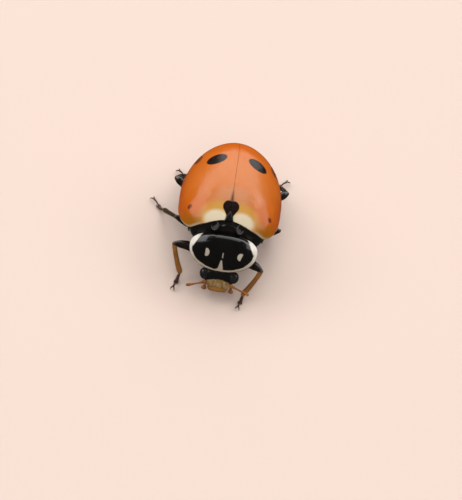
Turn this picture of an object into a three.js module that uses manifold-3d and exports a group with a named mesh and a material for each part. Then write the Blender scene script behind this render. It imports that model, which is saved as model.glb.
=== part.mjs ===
// A male variegated ladybird (Hippodamia variegata), life size, standing still on its six feet
// with its head and pronotum bent down in front.
// Millimetres, +Z up, the head towards -Y and the beetle's own left side towards +X.
// The origin is on the floor, under the middle of the bounding box.
// Each hard plate of the body is a piece of its own. Legs and feelers are thicker than in life.

import * as THREE from "three";
import { mergeVertices } from "three/addons/utils/BufferGeometryUtils.js";
import Module from "manifold-3d";

const wasm = await Module();
wasm.setup();

// ---------------------------------------------------------------- driving dimensions

const GAP = 0.03; // between neighbouring pieces

const RIM_HEIGHT = 1.12; // lower edge of the wing cases above the floor
const ELYTRA_WIDTH = 3.16;
const ELYTRA_RISE = 1.18; // crown above the lower edge
const ELYTRA_FRONT = -1.75;
const ELYTRA_REAR = 1.86;
const ELYTRA_WIDEST = -0.25; // the place along the body where it is widest and highest
const ELYTRA_WALL = 0.45;
const SUTURE_GAP = 0.02;
const SHOULDER_SET_BACK = 0.84; // how far the rounded shoulder lies behind the front edge
const FRONT_REACH_WIDTH = 2.05; // from the widest place to where the sides would meet in front
const FRONT_REACH_HEIGHT = 2.15;

const SCUTELLUM_WIDTH = 0.36;
const SCUTELLUM_LENGTH = 0.34;
const SCUTELLUM_DEPTH = 0.26;

const BELLY_DEPTH = 0.5; // belly below the lower edge of the wing cases
const BELLY_INSET = 0.2; // rim of the wing cases left free round the belly
const WAIST = -0.15; // where the abdomen meets the thorax

const PRONOTUM_WIDTH = 2.1;
const PRONOTUM_LENGTH = 1.18;
const PRONOTUM_CROWN = 0.3;
const PRONOTUM_DROOP = 0.18; // how far its side edges hang below its middle
const PRONOTUM_EDGE = 0.12;
const PRONOTUM_TILT = 35; // degrees, its front edge down

const HEAD_WIDTH = 1.04; // without the eyes
const HEAD_LENGTH = 0.76;
const HEAD_DEPTH = 0.48;
const HEAD_TILT = 40; // degrees, the mouth down
const EYE_SIZE = [0.34, 0.38, 0.34];
const LABRUM_SIZE = [0.68, 0.32, 0.3];
const MANDIBLES_SIZE = [0.52, 0.34, 0.26];
const COLLAR_SIZE = [2.28, 0.84, 1.46];
const PROTHORAX_SIZE = [1.68, 0.96, 0.88];

const COXA_RADIUS = 0.2;
const FEMUR_RADIUS = 0.23;
const TIBIA_RADIUS = 0.21;
const TARSUS_RADIUS = 0.21;
const SOLE_HEIGHT = 0.18; // centre line of a foot above its flat sole
const ANTENNA_RADIUS = 0.21;
const PALP_RADIUS = 0.13;

const degrees = THREE.MathUtils.degToRad;

// ---------------------------------------------------------------- finishes

function finish(color, roughness) {
  return new THREE.MeshStandardMaterial({ color, roughness, metalness: 0 });
}

// ---------------------------------------------------------------- solids

function cleaned(geometry) {
  geometry.deleteAttribute("normal");
  geometry.deleteAttribute("uv");
  const merged = mergeVertices(geometry, 1e-4);
  const kept = [];
  const index = merged.index.array;
  for (let i = 0; i < index.length; i += 3) {
    const [a, b, c] = [index[i], index[i + 1], index[i + 2]];
    if (a !== b && b !== c && c !== a) kept.push(a, b, c);
  }
  merged.setIndex(kept);
  return merged;
}

function solidFrom(geometry) {
  const merged = cleaned(geometry);
  const vertProperties = Float32Array.from(merged.attributes.position.array);
  const triVerts = Uint32Array.from(merged.index.array);
  return new wasm.Manifold(new wasm.Mesh({ numProp: 3, vertProperties, triVerts }));
}

function geometryFrom(solid) {
  const mesh = solid.getMesh();
  const geometry = new THREE.BufferGeometry();
  geometry.setAttribute("position", new THREE.BufferAttribute(mesh.vertProperties, 3));
  geometry.setIndex(new THREE.BufferAttribute(mesh.triVerts, 1));
  geometry.computeVertexNormals();
  return geometry;
}

// A closed body through rings of points, each ring running round it the same way.
function ringSolid(rings) {
  const sides = rings[0].length;
  const points = rings.flat();
  const first = centreOf(rings[0]);
  const last = centreOf(rings[rings.length - 1]);
  const firstIndex = points.push(first) - 1;
  const lastIndex = points.push(last) - 1;
  const index = [];
  for (let j = 0; j < sides; j += 1) {
    const k = (j + 1) % sides;
    const end = (rings.length - 1) * sides;
    index.push(firstIndex, k, j, lastIndex, end + j, end + k);
    for (let i = 0; i + 1 < rings.length; i += 1) {
      const [a, b] = [i * sides + j, i * sides + k];
      index.push(a, b, b + sides, a, b + sides, a + sides);
    }
  }
  const geometry = new THREE.BufferGeometry().setFromPoints(points);
  geometry.setIndex(index);
  return solidFrom(geometry);
}

function centreOf(points) {
  const sum = new THREE.Vector3();
  points.forEach((point) => sum.add(point));
  return sum.divideScalar(points.length);
}

// A curved plate between an upper and a lower surface, with walls round its four edges.
function plateSolid(upperAt, lowerAt, rows, columns) {
  const points = [];
  const index = [];
  const at = (side, i, j) => (side * (rows + 1) + i) * (columns + 1) + j;
  [upperAt, lowerAt].forEach((surface) => {
    for (let i = 0; i <= rows; i += 1) {
      for (let j = 0; j <= columns; j += 1) points.push(surface(i / rows, j / columns));
    }
  });
  const quad = (a, b, c, d) => index.push(a, b, c, a, c, d);
  for (let i = 0; i < rows; i += 1) {
    for (let j = 0; j < columns; j += 1) {
      quad(at(0, i, j), at(0, i, j + 1), at(0, i + 1, j + 1), at(0, i + 1, j));
      quad(at(1, i, j), at(1, i + 1, j), at(1, i + 1, j + 1), at(1, i, j + 1));
    }
    quad(at(0, i, 0), at(0, i + 1, 0), at(1, i + 1, 0), at(1, i, 0));
    quad(at(0, i, columns), at(1, i, columns), at(1, i + 1, columns), at(0, i + 1, columns));
  }
  for (let j = 0; j < columns; j += 1) {
    quad(at(0, 0, j), at(1, 0, j), at(1, 0, j + 1), at(0, 0, j + 1));
    quad(at(0, rows, j), at(0, rows, j + 1), at(1, rows, j + 1), at(1, rows, j));
  }
  const geometry = new THREE.BufferGeometry().setFromPoints(points);
  geometry.setIndex(index);
  return solidFrom(geometry);
}

// An ellipsoid of a given size, placed by a matrix.
function ellipsoid(size, place, grow = 0, sides = 16) {
  const geometry = new THREE.SphereGeometry(0.5, sides, Math.round(sides * 0.6));
  geometry.scale(...size.map((value) => value + 2 * grow));
  geometry.applyMatrix4(place);
  return solidFrom(geometry);
}

// A round-ended limb along a path, with its radius given along the way.
function limb(path, radiusAt, grow = 0, steps = 2, sides = 10) {
  const rings = [];
  const frames = path.computeFrenetFrames(steps, false);
  const capAngles = [20, 55];
  const addRing = (i, along, radius) => {
    const centre = path.getPointAt(i / steps).addScaledVector(frames.tangents[i], along);
    const ring = [];
    for (let j = 0; j < sides; j += 1) {
      const turn = (2 * Math.PI * j) / sides;
      const point = centre.clone();
      point.addScaledVector(frames.normals[i], radius * Math.cos(turn));
      point.addScaledVector(frames.binormals[i], radius * Math.sin(turn));
      ring.push(point);
    }
    rings.push(ring);
  };
  const startRadius = radiusAt(0) + grow;
  const endRadius = radiusAt(1) + grow;
  capAngles.forEach((angle) => {
    const a = degrees(angle);
    addRing(0, -startRadius * Math.cos(a), startRadius * Math.sin(a));
  });
  for (let i = 0; i <= steps; i += 1) addRing(i, 0, radiusAt(i / steps) + grow);
  capAngles.toReversed().forEach((angle) => {
    const a = degrees(angle);
    addRing(steps, endRadius * Math.cos(a), endRadius * Math.sin(a));
  });
  return ringSolid(rings);
}

function straight(from, to) {
  return new THREE.LineCurve3(new THREE.Vector3(...from), new THREE.Vector3(...to));
}

function block(low, high) {
  const size = high.map((value, axis) => value - low[axis]);
  const geometry = new THREE.BoxGeometry(...size);
  geometry.translate(...low.map((value, axis) => value + size[axis] / 2));
  return solidFrom(geometry);
}

function without(solid, ...cutters) {
  return cutters.reduce((left, cutter) => left.subtract(cutter), solid);
}

function frameAt(position, tilt = 0, roll = 0) {
  const turn = new THREE.Quaternion().setFromEuler(new THREE.Euler(tilt, roll, 0, "XYZ"));
  return new THREE.Matrix4().compose(new THREE.Vector3(...position), turn, new THREE.Vector3(1, 1, 1));
}

// ---------------------------------------------------------------- the domed back

// From 1 at no distance, along a rounded curve, to 0 at the reach.
function bulge(distance, reach, power) {
  return Math.max(0, 1 - (Math.abs(distance) / reach) ** power) ** (1 / power);
}

// Half width and height of the dome at a place along the body, set in by a wall.
function domeSection(y, inset) {
  const distance = y - ELYTRA_WIDEST;
  const behind = distance > 0;
  const rearReach = ELYTRA_REAR - ELYTRA_WIDEST - inset;
  const widthShare = behind ? bulge(distance, rearReach, 1.95) : bulge(distance, FRONT_REACH_WIDTH, 2.8);
  const heightShare = behind ? bulge(distance, rearReach, 2.5) : bulge(distance, FRONT_REACH_HEIGHT, 2.2);
  return {
    halfWidth: (ELYTRA_WIDTH / 2 - inset) * widthShare,
    height: (ELYTRA_RISE - inset) * heightShare,
  };
}

// The curved sheet of one wing case: along runs from the front edge to the rear tip, and
// across runs from the suture down to the side edge.
function elytronSurface(side, inset) {
  return (along, across) => {
    const angle = (Math.PI / 2) * across;
    const shoulder = Math.max(0, (across - 0.6) / 0.4) ** 2.5;
    const front = ELYTRA_FRONT + SHOULDER_SET_BACK * shoulder;
    const rear = ELYTRA_REAR - inset;
    const y = front + (rear - front) * Math.sin((Math.PI / 2) * along);
    const { halfWidth, height } = domeSection(y, inset);
    const x = halfWidth * Math.sin(angle) + (SUTURE_GAP / 2) * (1 - across);
    return new THREE.Vector3(side * x, y, RIM_HEIGHT + height * Math.cos(angle));
  };
}

function elytronSolid(side) {
  const upper = elytronSurface(side, 0);
  const lower = elytronSurface(side, ELYTRA_WALL);
  return side > 0 ? plateSolid(upper, lower, 13, 8) : plateSolid(lower, upper, 13, 8);
}

// The small triangle let into the front edge of the wing cases, where they meet.
function scutellumSolid(grow = 0) {
  const half = SCUTELLUM_WIDTH / 2 + grow;
  const outline = new THREE.Shape();
  outline.moveTo(-half, -grow);
  outline.quadraticCurveTo(-half * 0.8, SCUTELLUM_LENGTH * 0.55, 0, SCUTELLUM_LENGTH + grow);
  outline.quadraticCurveTo(half * 0.8, SCUTELLUM_LENGTH * 0.55, half, -grow);
  const depth = SCUTELLUM_DEPTH + 2 * grow;
  const geometry = new THREE.ExtrudeGeometry(outline, { depth, bevelEnabled: false, curveSegments: 4 });
  geometry.translate(0, 0, -SCUTELLUM_DEPTH - grow);
  geometry.applyMatrix4(frameAt([0, ELYTRA_FRONT, 2.02], degrees(17)));
  return solidFrom(geometry);
}

// The body below the wing cases. Its back fills their inner dome, and its belly spreads out
// under their edges as a shallow keel.
function trunkSolid() {
  const rows = 8;
  const arcSteps = 9;
  const rings = [];
  // Half a turn of points across the body, over the back or, with a negative reach, under it.
  const arc = (y, halfWidth, reach) => {
    const points = [];
    for (let j = 0; j <= arcSteps; j += 1) {
      const angle = Math.PI * (j / arcSteps - 0.5) * Math.sign(reach);
      const z = RIM_HEIGHT - GAP + reach * Math.cos(angle);
      points.push(new THREE.Vector3(halfWidth * Math.sin(angle), y, z));
    }
    return points;
  };
  const placeAlong = (share, inset) => THREE.MathUtils.lerp(ELYTRA_FRONT, ELYTRA_REAR - inset, share);
  for (let i = 0; i <= rows; i += 1) {
    const share = Math.sin((Math.PI / 2) * (i / rows));
    const backInset = ELYTRA_WALL + GAP;
    const back = domeSection(placeAlong(share, backInset), backInset);
    const belly = domeSection(placeAlong(share, BELLY_INSET), BELLY_INSET);
    const depth = BELLY_DEPTH * bulge(share, 1, 3);
    const over = arc(placeAlong(share, backInset), back.halfWidth, back.height);
    const under = arc(placeAlong(share, BELLY_INSET), belly.halfWidth, -depth);
    rings.push([...over, ...under]);
  }
  return ringSolid(rings);
}

// ---------------------------------------------------------------- pronotum and neck

const PRONOTUM_PLACE = frameAt([-0.02, -2.33, 1.33], degrees(PRONOTUM_TILT), degrees(-4));

// The shield in its own frame: its outline is fuller behind, its crown domed, its sides hang.
function pronotumSolid(grow = 0) {
  const sides = 24;
  const halfWidth = PRONOTUM_WIDTH / 2 + grow;
  const rearReach = 0.4 * PRONOTUM_LENGTH + grow;
  const frontReach = 0.6 * PRONOTUM_LENGTH + grow;
  const ringAt = (share, heightAt) => {
    const ring = [];
    for (let j = 0; j < sides; j += 1) {
      const angle = (2 * Math.PI * j) / sides;
      const behind = Math.sin(angle) > 0;
      const power = behind ? 2.3 : 2.15;
      const cos = Math.cos(angle);
      const sin = Math.sin(angle);
      const x = share * halfWidth * Math.sign(cos) * Math.abs(cos) ** (2 / power);
      const reach = behind ? rearReach : frontReach;
      const y = share * reach * Math.sign(sin) * Math.abs(sin) ** (2 / power);
      const droop = PRONOTUM_DROOP * (x / halfWidth) ** 2;
      ring.push(new THREE.Vector3(x, y, heightAt(share) - droop).applyMatrix4(PRONOTUM_PLACE));
    }
    return ring;
  };
  const upper = (share) => PRONOTUM_CROWN * Math.sqrt(1 - share ** 2) + grow;
  const lower = () => -PRONOTUM_EDGE - grow;
  const rings = [];
  [0.3, 0.6, 0.82, 0.95].forEach((share) => rings.push(ringAt(share, upper)));
  rings.push(ringAt(1, () => grow));
  rings.push(ringAt(1, () => -PRONOTUM_EDGE * 0.6 - grow));
  [0.9, 0.5].forEach((share) => rings.push(ringAt(share, lower)));
  return ringSolid(rings.toReversed());
}

// The collar that the wing cases hinge on, bared where the pronotum is bent down.
function collarSolid(grow = 0) {
  return ellipsoid(COLLAR_SIZE, frameAt([0, -1.62, 1.25]), grow);
}

function prothoraxSolid() {
  return ellipsoid(PROTHORAX_SIZE, frameAt([0, -2.36, 0.98]), 0, 12);
}

// ---------------------------------------------------------------- head

const HEAD_PLACE = frameAt([0, -2.93, 0.575], degrees(HEAD_TILT), degrees(-6));

function onHead(x, y, z) {
  return new THREE.Vector3(x, y, z).applyMatrix4(HEAD_PLACE);
}

function headPlace(x, y, z) {
  return HEAD_PLACE.clone().multiply(frameAt([x, y, z]));
}

function headSolid(grow = 0) {
  return ellipsoid([HEAD_WIDTH, HEAD_LENGTH, HEAD_DEPTH], HEAD_PLACE, grow, 14);
}

function eyeSolid(side, grow = 0) {
  return ellipsoid(EYE_SIZE, headPlace(side * 0.44, 0.11, 0.04), grow, 12);
}

function labrumSolid(grow = 0) {
  return ellipsoid(LABRUM_SIZE, headPlace(0, -0.24, 0.03), grow, 12);
}

function mandiblesSolid(grow = 0) {
  return ellipsoid(MANDIBLES_SIZE, headPlace(0, -0.24, -0.16), grow, 12);
}

function palpSolid(side, grow = 0) {
  const path = new THREE.LineCurve3(onHead(side * 0.36, -0.12, -0.16), onHead(side * 0.4, -0.3, -0.1));
  return limb(path, () => PALP_RADIUS, grow, 1, 8);
}

// A feeler from below the eye outwards, thickest in the club at its tip.
function antennaSolid(side, grow = 0) {
  const path = new THREE.CatmullRomCurve3([
    onHead(side * 0.42, -0.14, 0.07),
    new THREE.Vector3(side * 0.7, -3.32, 0.68),
    new THREE.Vector3(side * 0.86, -3.5, 0.76),
  ]);
  return limb(path, (t) => ANTENNA_RADIUS * (0.86 + 0.14 * t), grow, 3, 8);
}

// ---------------------------------------------------------------- legs

// Where each leg turns: the inner and outer end of its coxa, its knee, its ankle and its toe.
const LEGS = {
  front_left: {
    hip: [0.2, -2.26, 0.62],
    trochanter: [0.42, -2.3, 0.56],
    knee: [1.27, -2.56, 0.78],
    ankle: [0.82, -3.08, 0.25],
    toe: [0.74, -3.4],
  },
  front_right: {
    hip: [-0.2, -2.26, 0.62],
    trochanter: [-0.42, -2.26, 0.56],
    knee: [-1.54, -2.08, 0.84],
    ankle: [-1.2, -2.62, 0.25],
    toe: [-1.32, -3.06],
  },
  middle_left: {
    hip: [0.34, -1.18, 0.62],
    trochanter: [0.6, -1.12, 0.54],
    knee: [1.58, -0.8, 0.78],
    ankle: [1.4, -0.3, 0.25],
    toe: [1.28, 0.12],
  },
  middle_right: {
    hip: [-0.34, -1.18, 0.62],
    trochanter: [-0.6, -1.16, 0.54],
    knee: [-1.54, -0.96, 0.8],
    ankle: [-1.98, -0.24, 0.25],
    toe: [-2.33, 0.21],
  },
  hind_left: {
    hip: [0.3, -0.36, 0.62],
    trochanter: [0.62, -0.24, 0.54],
    knee: [1.64, 0.72, 0.8],
    ankle: [1.34, 1.46, 0.25],
    toe: [1.69, 1.83],
  },
  hind_right: {
    hip: [-0.3, -0.36, 0.62],
    trochanter: [-0.62, -0.24, 0.54],
    knee: [-1.68, 0.6, 0.8],
    ankle: [-1.36, 1.26, 0.25],
    toe: [-1.66, 1.53],
  },
};

const FLOOR = block([-5, -5, -1], [5, 5, 0]);

function coxaSolid({ hip, trochanter }, grow = 0) {
  return limb(straight(hip, trochanter), () => COXA_RADIUS, grow, 1, 8);
}

function femurSolid({ trochanter, knee }, grow = 0) {
  const slimAtEnds = (t) => FEMUR_RADIUS * (0.88 + 0.12 * Math.sin(Math.PI * t));
  return limb(straight(trochanter, knee), slimAtEnds, grow);
}

function tibiaSolid({ knee, ankle }, grow = 0) {
  return limb(straight(knee, ankle), (t) => TIBIA_RADIUS * (1 + 0.06 * t), grow, 1);
}

function tarsusSolid({ ankle, toe }) {
  const end = new THREE.Vector3(...toe, SOLE_HEIGHT);
  const start = new THREE.Vector3(ankle[0], ankle[1], SOLE_HEIGHT).lerp(end, 0.3);
  return without(limb(new THREE.LineCurve3(start, end), () => TARSUS_RADIUS, 0, 1, 8), FLOOR);
}

// ---------------------------------------------------------------- assembly

const chitin = {
  orange: finish(0xc9601a, 0.3),
  black: finish(0x0b0a0a, 0.25),
  brown: finish(0x2a1710, 0.4),
  reddish: finish(0x7a3a1c, 0.45),
  amber: finish(0xb56a24, 0.4),
  cream: finish(0xcdbf9c, 0.4),
  eye: finish(0x4a423c, 0.3),
};

const beetle = new THREE.Group();

function add(name, solid, material) {
  const mesh = new THREE.Mesh(geometryFrom(solid), material.clone());
  mesh.name = name;
  beetle.add(mesh);
}

const legs = Object.entries(LEGS);
const legRoom = legs.flatMap(([, leg]) => [coxaSolid(leg, GAP), femurSolid(leg, GAP)]);

function addBack() {
  const scutellumRoom = scutellumSolid(GAP);
  add("elytron_left", without(elytronSolid(1), scutellumRoom), chitin.orange);
  add("elytron_right", without(elytronSolid(-1), scutellumRoom), chitin.orange);
  add("scutellum", scutellumSolid(), chitin.black);
}

function addTrunk() {
  const trunk = trunkSolid();
  const lowerCollar = collarSolid().intersect(block([-2, -3, 0], [2, -1.2, RIM_HEIGHT - GAP]));
  const behindWaist = block([-2, WAIST + GAP / 2, 0], [2, 3, 3]);
  const beforeWaist = block([-2, -3, 0], [2, WAIST - GAP / 2, 3]);
  const scutellumRoom = scutellumSolid(GAP);
  const thorax = trunk.intersect(beforeWaist).add(lowerCollar);
  add("thorax", without(thorax, scutellumRoom, ...legRoom), chitin.black);
  add("abdomen", without(trunk.intersect(behindWaist), ...legRoom), chitin.black);
}

function addNeck() {
  const upperFront = block([-2, -3, RIM_HEIGHT], [2, ELYTRA_FRONT - GAP, 3]);
  const pronotumRoom = pronotumSolid(GAP);
  const collar = without(collarSolid().intersect(upperFront), pronotumRoom, scutellumSolid(GAP));
  add("mesonotum", collar, chitin.black);
  add("pronotum", pronotumSolid(), chitin.black);
  const prothorax = without(prothoraxSolid(), pronotumRoom, collarSolid(GAP), headSolid(GAP), ...legRoom);
  add("prothorax", prothorax, chitin.black);
}

function addHead() {
  const pronotumRoom = pronotumSolid(GAP);
  const eyeRoom = [eyeSolid(1, GAP), eyeSolid(-1, GAP)];
  const labrumRoom = labrumSolid(GAP);
  const mouthRoom = mandiblesSolid(GAP);
  const skull = headSolid(GAP);
  add("head", without(headSolid(), pronotumRoom, labrumRoom, mouthRoom, ...eyeRoom), chitin.black);
  add("labrum", without(labrumSolid(), mouthRoom), chitin.cream);
  add("mandibles", mandiblesSolid(), chitin.amber);
  [["left", 1], ["right", -1]].forEach(([name, side]) => {
    add(`eye_${name}`, without(eyeSolid(side), pronotumRoom), chitin.eye);
    const eye = eyeSolid(side, GAP);
    add(`palp_${name}`, without(palpSolid(side), skull, labrumRoom, mouthRoom), chitin.amber);
    const palp = palpSolid(side, GAP);
    add(`antenna_${name}`, without(antennaSolid(side), skull, eye, labrumRoom, palp), chitin.amber);
  });
}

function addLeg(name, leg) {
  const front = name.startsWith("front");
  const tibia = without(tibiaSolid(leg), femurSolid(leg, GAP));
  const tarsus = without(tarsusSolid(leg), tibiaSolid(leg, GAP));
  add(`coxa_${name}`, coxaSolid(leg), chitin.black);
  add(`femur_${name}`, without(femurSolid(leg), coxaSolid(leg, GAP)), chitin.black);
  add(`tibia_${name}`, tibia, front ? chitin.amber : chitin.brown);
  add(`tarsus_${name}`, tarsus, chitin.reddish);
}

addBack();
addTrunk();
addNeck();
addHead();
legs.forEach(([name, leg]) => addLeg(name, leg));

// The origin goes on the floor under the middle of the bounding box.
const middle = new THREE.Box3().setFromObject(beetle).getCenter(new THREE.Vector3());
beetle.position.set(-middle.x, -middle.y, 0);

export default beetle;
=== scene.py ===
"""A male variegated ladybird, life size and standing still, modelled in Blender round its CAD solids."""

import math

import bpy
import numpy as np
from mathutils import Matrix, Vector


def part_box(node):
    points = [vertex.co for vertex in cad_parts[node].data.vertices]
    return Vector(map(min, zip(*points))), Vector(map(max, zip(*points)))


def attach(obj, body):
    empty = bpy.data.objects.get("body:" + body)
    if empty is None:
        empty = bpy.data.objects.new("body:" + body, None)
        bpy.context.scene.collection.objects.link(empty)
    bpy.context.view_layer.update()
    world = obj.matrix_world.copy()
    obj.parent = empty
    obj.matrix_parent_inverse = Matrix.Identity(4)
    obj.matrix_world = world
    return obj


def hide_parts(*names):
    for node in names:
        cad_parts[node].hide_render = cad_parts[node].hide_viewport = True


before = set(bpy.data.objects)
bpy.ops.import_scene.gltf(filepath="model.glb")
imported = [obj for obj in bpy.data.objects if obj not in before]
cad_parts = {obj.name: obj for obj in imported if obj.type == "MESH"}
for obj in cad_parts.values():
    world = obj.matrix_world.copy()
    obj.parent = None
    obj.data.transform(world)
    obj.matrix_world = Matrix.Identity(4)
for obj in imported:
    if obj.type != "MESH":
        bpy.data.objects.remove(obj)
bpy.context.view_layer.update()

# ---------------------------------------------------------------- setting out
# The beetle is set out in body millimetres: across from the seam between the wing cases, along from
# a point under the middle of the back, with the head towards minus, and up from the floor. The CAD
# wing cases fix where that point is.

MM = 0.001
WING_FRONT = -1.75

wing_corner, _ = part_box("elytron_left")
BODY = Vector((wing_corner.x, wing_corner.y - WING_FRONT * MM, 0))


def body_box(node):
    """The lowest and highest corner of a CAD node, in body millimetres."""
    return [(Vector(corner) - BODY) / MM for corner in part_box(node)]


def settle(piece, material, slot, *nodes):
    """Moves a finished piece from body millimetres into the frame and hides the CAD nodes that it stands for.
    """
    piece.data.transform(Matrix.Translation(BODY) @ Matrix.Scale(MM, 4))
    if material is not None:
        piece.data.materials.clear()
        piece.data.materials.append(material)
    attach(piece, "root")
    if nodes:
        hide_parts(*nodes)


# ---------------------------------------------------------------- wing cases
# Two hard, thin, domed shells of orange chitin that meet in a seam down the back. Each has a raised
# bead along the seam, a flared rim with a gutter inside it, a bump at the shoulder and, below the rim,
# a strip turned in under the body. They are made by rule, from sections of the dome.

SIDES = {"left": 1.0, "right": -1.0}
WING_WIDEST = -0.25
WING_WALL = 0.07
WING_EDGE = 0.012
BUMP_STEP = 0.006  # height in millimetres of a pit of depth 1
wing_low, wing_high = body_box("elytron_left")
WING_SIZES = {
    "Half Width": wing_high.x, "Rise": wing_high.z - wing_low.z, "Rim Height": wing_low.z,
    "Front": wing_low.y, "Rear": wing_high.y, "Widest": WING_WIDEST, "Front Bow": 0.09,
    "Shoulder Set Back": 0.86, "Shoulder Bump": 0.03, "Flare": 0.012, "Turned In": 0.30,
    "Strip Share": 0.14, "Seam Gap": 0.008,
}


class Term:
    """A number inside a node tree. Arithmetic on it adds the Math nodes."""

    def __init__(self, tree, socket):
        self.tree = tree
        self.socket = socket

    def math(self, operation, *others):
        return calculate(self.tree, operation, self, *others)

    def __add__(self, other):
        return self.math("ADD", other)

    def __sub__(self, other):
        return self.math("SUBTRACT", other)

    def __mul__(self, other):
        return self.math("MULTIPLY", other)

    def __truediv__(self, other):
        return self.math("DIVIDE", other)

    def __pow__(self, other):
        return self.math("POWER", other)

    def __rsub__(self, other):
        return calculate(self.tree, "SUBTRACT", other, self)

    def __rtruediv__(self, other):
        return calculate(self.tree, "DIVIDE", other, self)

    __radd__ = __add__
    __rmul__ = __mul__

    def ramp(self, start, end):
        """0 up to start, 1 from end on, and a smooth slope between."""
        node = add_node(self.tree, "ShaderNodeMapRange", {0: self, 1: start, 2: end},
                        interpolation_type="SMOOTHSTEP")
        return Term(self.tree, node.outputs[0])

    def hump(self, centre, width):
        """A bell curve of height 1 round a centre."""
        return ((((self - centre) / width) ** 2) * -1).math("EXPONENT")


def calculate(tree, operation, *values):
    node = add_node(tree, "ShaderNodeMath", dict(enumerate(values)), operation=operation)
    return Term(tree, node.outputs[0])


def fill(node, inputs):
    """Sets or links a node's inputs, by name or number. A node given as a value is its first output."""
    for name, value in inputs.items():
        socket = node.inputs[name]
        if isinstance(value, Term):
            value = value.socket
        elif isinstance(value, bpy.types.Node):
            value = value.outputs[0]
        if isinstance(value, bpy.types.NodeSocket):
            node.id_data.links.new(value, socket)
        else:
            socket.default_value = (*value, 1) if socket.type == "RGBA" else value


def add_node(tree, kind, inputs=(), **options):
    """Adds a node to a tree, sets its options and fills its inputs."""
    node = tree.nodes.new(kind)
    for option, value in options.items():
        setattr(node, option, value)
    fill(node, dict(inputs))
    return node


def split(tree, vector):
    axes = add_node(tree, "ShaderNodeSeparateXYZ", {0: vector})
    return [Term(tree, socket) for socket in axes.outputs]


def shape_tree(name, *sizes):
    """A Geometry Nodes tree that takes a mesh, named sizes and a material. Returns it with its inputs."""
    tree = bpy.data.node_groups.new(name, "GeometryNodeTree")
    tree.interface.new_socket("Base", in_out="INPUT", socket_type="NodeSocketGeometry")
    for size in sizes:
        tree.interface.new_socket(size, in_out="INPUT", socket_type="NodeSocketFloat")
    tree.interface.new_socket("Material", in_out="INPUT", socket_type="NodeSocketMaterial")
    tree.interface.new_socket("Shape", in_out="OUTPUT", socket_type="NodeSocketGeometry")
    start = tree.nodes.new("NodeGroupInput")
    return tree, start, [Term(tree, start.outputs[size]) for size in sizes]


def end_tree(tree, start, shape):
    """Ends a tree in plain mesh with its material."""
    real = add_node(tree, "GeometryNodeRealizeInstances", {0: shape})
    painted = add_node(tree, "GeometryNodeSetMaterial",
                       {"Geometry": real, "Material": start.outputs["Material"]})
    add_node(tree, "NodeGroupOutput", {0: painted})
    return tree


def position(tree):
    return split(tree, add_node(tree, "GeometryNodeInputPosition"))


def move_to(tree, mesh, x, y, z):
    """Sets where the points of a mesh are."""
    place = add_node(tree, "ShaderNodeCombineXYZ", {0: x, 1: y, 2: z})
    return add_node(tree, "GeometryNodeSetPosition", {"Geometry": mesh, "Position": place})


def store(tree, mesh, name, value, data_type="FLOAT2", domain="CORNER"):
    """Keeps a value on a mesh under a name."""
    return add_node(tree, "GeometryNodeStoreNamedAttribute",
                    {"Geometry": mesh, "Name": name, "Value": value}, data_type=data_type, domain=domain)


def grid_points(tree, columns, rows):
    """A flat grid, with how far a point is along it, from 0 to 1, and across it, from -0.5 to 0.5."""
    grid = add_node(tree, "GeometryNodeMeshGrid", {"Vertices X": columns, "Vertices Y": rows})
    along, across, _ = position(tree)
    return grid, along + 0.5, across


def put(name, data):
    """A new object in the scene."""
    made = bpy.data.objects.new(name, data)
    bpy.context.scene.collection.objects.link(made)
    return made


def grow(name, tree, values, base=None, smooth=True):
    """Runs a tree on a mesh with its inputs set by name, and keeps the result as a plain mesh."""
    piece = put(name, base or bpy.data.meshes.new(name))
    modifier = piece.modifiers.new("shape", "NODES")
    modifier.node_group = tree
    for socket in tree.interface.items_tree:
        if socket.name in values:
            modifier[socket.identifier] = values[socket.name]
    made = bpy.data.meshes.new_from_object(piece.evaluated_get(bpy.context.evaluated_depsgraph_get()))
    made.name = name
    if smooth:
        made.shade_smooth()
    piece.modifiers.clear()
    piece.data = made
    return piece


def add_wall(piece, thickness, offset):
    wall = piece.modifiers.new("wall", "SOLIDIFY")
    wall.thickness = thickness * MM
    wall.offset = offset


def bulge(distance, reach, power):
    """From 1 at no distance, along a rounded curve, to 0 at the reach."""
    share = (distance.math("ABSOLUTE") / reach).math("MINIMUM", 1)
    return (1 - share**power) ** (1 / power)


def two_bulges(distance, behind, ahead):
    """A bulge with one reach and power behind its widest place and another ahead of it."""
    is_behind = distance.math("GREATER_THAN", 0)
    return is_behind * bulge(distance, *behind) + (1 - is_behind) * bulge(distance, *ahead)


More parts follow.
